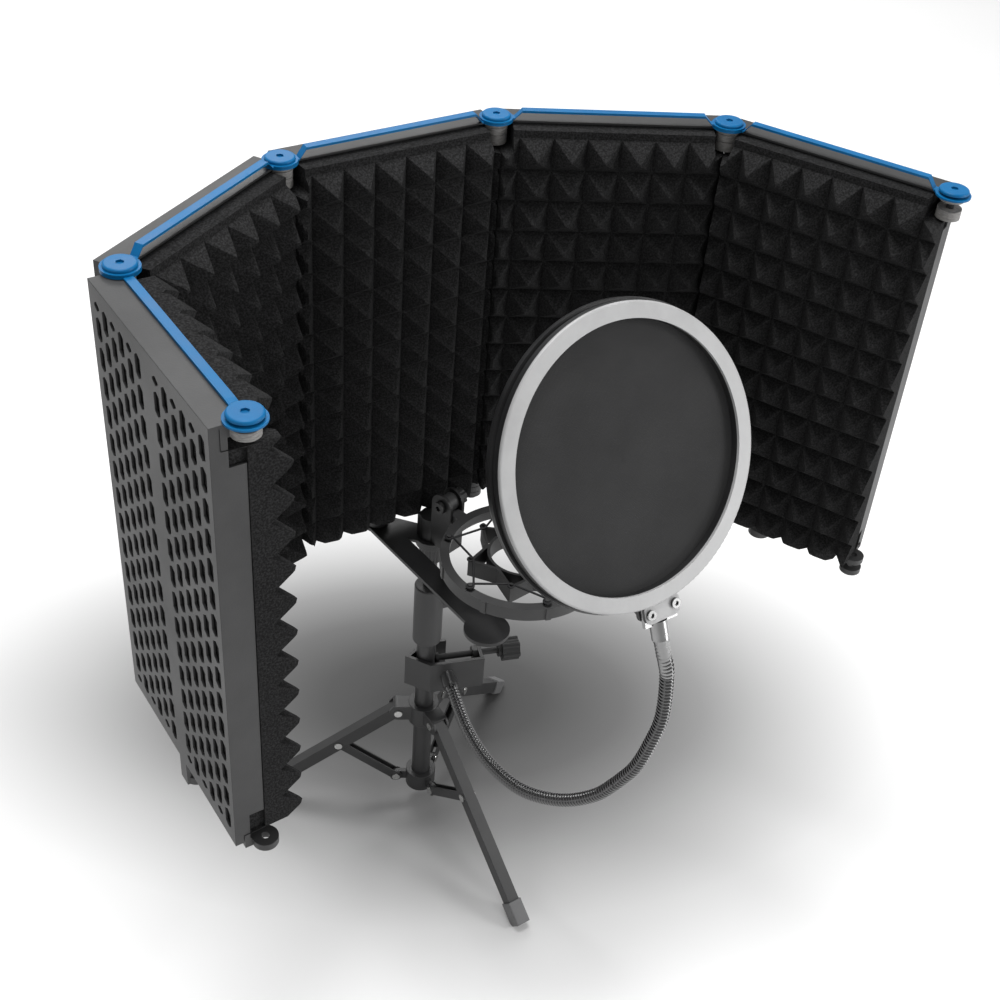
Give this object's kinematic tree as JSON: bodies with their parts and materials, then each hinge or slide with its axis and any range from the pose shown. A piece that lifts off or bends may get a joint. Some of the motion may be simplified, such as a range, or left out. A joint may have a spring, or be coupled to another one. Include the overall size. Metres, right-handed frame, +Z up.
{
  "type": "microphone isolation shield",
  "caption": "Folding microphone isolation shield with slotted steel panels and foam, on a small tripod with a pop filter on a gooseneck and an elastic shock mount.",
  "frame": {"origin": "centre of the footprint on the floor", "axes": "+Z up, the microphone speaks towards -Y, the shield stands behind at +Y"},
  "size_m": [0.5428, 0.3462, 0.6456],
  "materials": {
    "shell_steel": "satin textured black powder coat",
    "stand_steel": "satin black paint",
    "bright_steel": "bright zinc rivets and screws",
    "link_blue": "gloss blue anodised look",
    "foam": "open-cell acoustic foam",
    "black_plastic": "moulded nylon",
    "grey_plastic": "moulded feet",
    "silver_plastic": "satin silver-grey",
    "mesh_nylon": "fine woven screen",
    "neck_steel": "semi-gloss black gooseneck",
    "elastic": "covered elastic cord"
  },
  "bodies": {
    "stand": {"lower_tube": "stand_steel", "end_collar": "stand_steel", "collar_rivets": "bright_steel", "height_lock_collar": "black_plastic"},
    "hub": {"leg_hub": "stand_steel", "hub_rivets": "bright_steel"},
    "leg_1_body": {"leg_1": "stand_steel", "foot_cap_1": "grey_plastic", "leg_rivet_1": "bright_steel"},
    "leg_2_body": {"leg_2": "stand_steel", "foot_cap_2": "grey_plastic", "leg_rivet_2": "bright_steel"},
    "leg_3_body": {"leg_3": "stand_steel", "foot_cap_3": "grey_plastic", "leg_rivet_3": "bright_steel"},
    "brace_1_body": {"brace_1": "stand_steel"},
    "brace_2_body": {"brace_2": "stand_steel"},
    "brace_3_body": {"brace_3": "stand_steel"},
    "lock_screw": {"height_lock_screw": "black_plastic"},
    "shield": {"upper_tube": "stand_steel", "thread_adaptor": "stand_steel", "support_bar": "stand_steel", "support_bolt": "bright_steel", "mount_base": "black_plastic", "panel_3_shell": "shell_steel", "panel_3_foam": "foam", "link_bar_3": "link_blue", "hinge_screws_3": "link_blue"},
    "panel_2_body": {"panel_2_shell": "shell_steel", "panel_2_foam": "foam", "link_bar_2": "link_blue", "hinge_screws_2": "link_blue"},
    "panel_1_body": {"panel_1_shell": "shell_steel", "panel_1_foam": "foam", "link_bar_1": "link_blue", "hinge_screws_1": "link_blue"},
    "panel_4_body": {"panel_4_shell": "shell_steel", "panel_4_foam": "foam", "link_bar_4": "link_blue", "hinge_screws_4": "link_blue"},
    "panel_5_body": {"panel_5_shell": "shell_steel", "panel_5_foam": "foam", "link_bar_5": "link_blue", "hinge_screws_5": "link_blue"},
    "clamp": {"filter_clamp": "stand_steel", "gooseneck_lower": "neck_steel"},
    "clamp_knob": {"clamp_screw": "black_plastic"},
    "neck": {"gooseneck_middle": "neck_steel"},
    "filter": {"gooseneck_upper": "neck_steel", "filter_front_ring": "silver_plastic", "filter_rear_ring": "silver_plastic", "filter_mesh": "mesh_nylon", "filter_screws": "bright_steel"},
    "ring": {"mount_ring": "black_plastic", "mount_elastics": "elastic"},
    "cradle": {"mount_cradle": "black_plastic"},
    "tilt_knob": {"tilt_screw": "black_plastic"}
  },
  "joints": [
    {"name": "hub_slide", "type": "slide", "parent": "stand", "child": "hub", "axis": [0, 0, 1], "range_m": [0, 0.0245]},
    {"name": "leg_1_fold", "type": "hinge", "parent": "hub", "child": "leg_1_body", "pos_m": [-0.0053, 0.05771, 0.118], "axis": [0.9994, 0.0349, 0], "range_deg": [0, 16]},
    {"name": "brace_1_fold", "type": "hinge", "parent": "leg_1_body", "child": "brace_1_body", "pos_m": [-0.00352, 0.00661, 0.076], "axis": [0.9994, 0.0349, 0], "range_deg": [-32, 0]},
    {"name": "leg_2_fold", "type": "hinge", "parent": "hub", "child": "leg_2_body", "pos_m": [0.01259, 0.09136, 0.118], "axis": [-0.5299, 0.848, 0], "range_deg": [0, 16]},
    {"name": "brace_2_fold", "type": "hinge", "parent": "leg_2_body", "child": "brace_2_body", "pos_m": [0.05595, 0.11845, 0.076], "axis": [-0.5299, 0.848, 0], "range_deg": [-32, 0]},
    {"name": "leg_3_fold", "type": "hinge", "parent": "hub", "child": "leg_3_body", "pos_m": [-0.0255, 0.09003, 0.118], "axis": [-0.4695, -0.8829, 0], "range_deg": [0, 16]},
    {"name": "brace_3_fold", "type": "hinge", "parent": "leg_3_body", "child": "brace_3_body", "pos_m": [-0.07064, 0.11403, 0.076], "axis": [-0.4695, -0.8829, 0], "range_deg": [-32, 0]},
    {"name": "shield_height", "type": "slide", "parent": "stand", "child": "shield", "axis": [0, 0, 1], "range_m": [-0.028, 0.05]},
    {"name": "height_lock_turn", "type": "hinge", "parent": "stand", "child": "lock_screw", "pos_m": [0.0087, 0.07709, 0.246], "axis": [-0.1736, -0.9848, 0], "continuous": true},
    {"name": "panel_2_fold", "type": "hinge", "parent": "shield", "child": "panel_2_body", "pos_m": [-0.11607, 0.1037, 0.328], "axis": [0, 0, 1], "range_deg": [-31.7, 1.3]},
    {"name": "panel_1_fold", "type": "hinge", "parent": "panel_2_body", "child": "panel_1_body", "pos_m": [-0.2522, 0.01963, 0.328], "axis": [0, 0, 1], "range_deg": [-58.7, 1.3]},
    {"name": "panel_4_fold", "type": "hinge", "parent": "shield", "child": "panel_4_body", "pos_m": [0.04393, 0.1037, 0.328], "axis": [0, 0, -1], "range_deg": [-28, 1.3]},
    {"name": "panel_5_fold", "type": "hinge", "parent": "panel_4_body", "child": "panel_5_body", "pos_m": [0.1852, 0.02858, 0.328], "axis": [0, 0, -1], "range_deg": [-36.4, 1.3]},
    {"name": "filter_swivel", "type": "hinge", "parent": "stand", "child": "clamp", "pos_m": [-0.00607, 0.0797, 0.1665], "axis": [0, 0, 1], "range_deg": [-20, 20]},
    {"name": "clamp_turn", "type": "hinge", "parent": "clamp", "child": "clamp_knob", "pos_m": [0.03578, 0.0661, 0.176], "axis": [0.9511, -0.309, 0], "continuous": true},
    {"name": "neck_bend", "type": "hinge", "parent": "clamp", "child": "neck", "pos_m": [0.00073, -0.0935, 0.1729], "axis": [-1, 0, 0], "range_deg": [-12, 4]},
    {"name": "filter_tilt", "type": "hinge", "parent": "neck", "child": "filter", "pos_m": [0.03213, -0.1655, 0.3554], "axis": [-1, 0, 0], "range_deg": [-20, 8]},
    {"name": "mount_tilt", "type": "hinge", "parent": "shield", "child": "ring", "pos_m": [-0.00203, 0.06474, 0.352], "axis": [-0.9655, -0.2605, 0], "range_deg": [-5, 30]},
    {"name": "tilt_knob_turn", "type": "hinge", "parent": "shield", "child": "tilt_knob", "pos_m": [-0.00203, 0.06474, 0.352], "axis": [-0.9655, -0.2605, 0], "continuous": true},
    {"name": "cradle_float", "type": "slide", "parent": "ring", "child": "cradle", "axis": [0, 0, 1], "range_m": [-0.003, 0.003], "stiffness_N_per_m": 300, "deforming": ["mount_elastics"]}
  ],
  "couplings": [
    {"joint": "leg_1_fold", "follows": "hub_slide", "rad_per_m": 10.85},
    {"joint": "brace_1_fold", "follows": "hub_slide", "rad_per_m": -21.7},
    {"joint": "leg_2_fold", "follows": "hub_slide", "rad_per_m": 10.85},
    {"joint": "brace_2_fold", "follows": "hub_slide", "rad_per_m": -21.7},
    {"joint": "leg_3_fold", "follows": "hub_slide", "rad_per_m": 10.85},
    {"joint": "brace_3_fold", "follows": "hub_slide", "rad_per_m": -21.7}
  ]
}
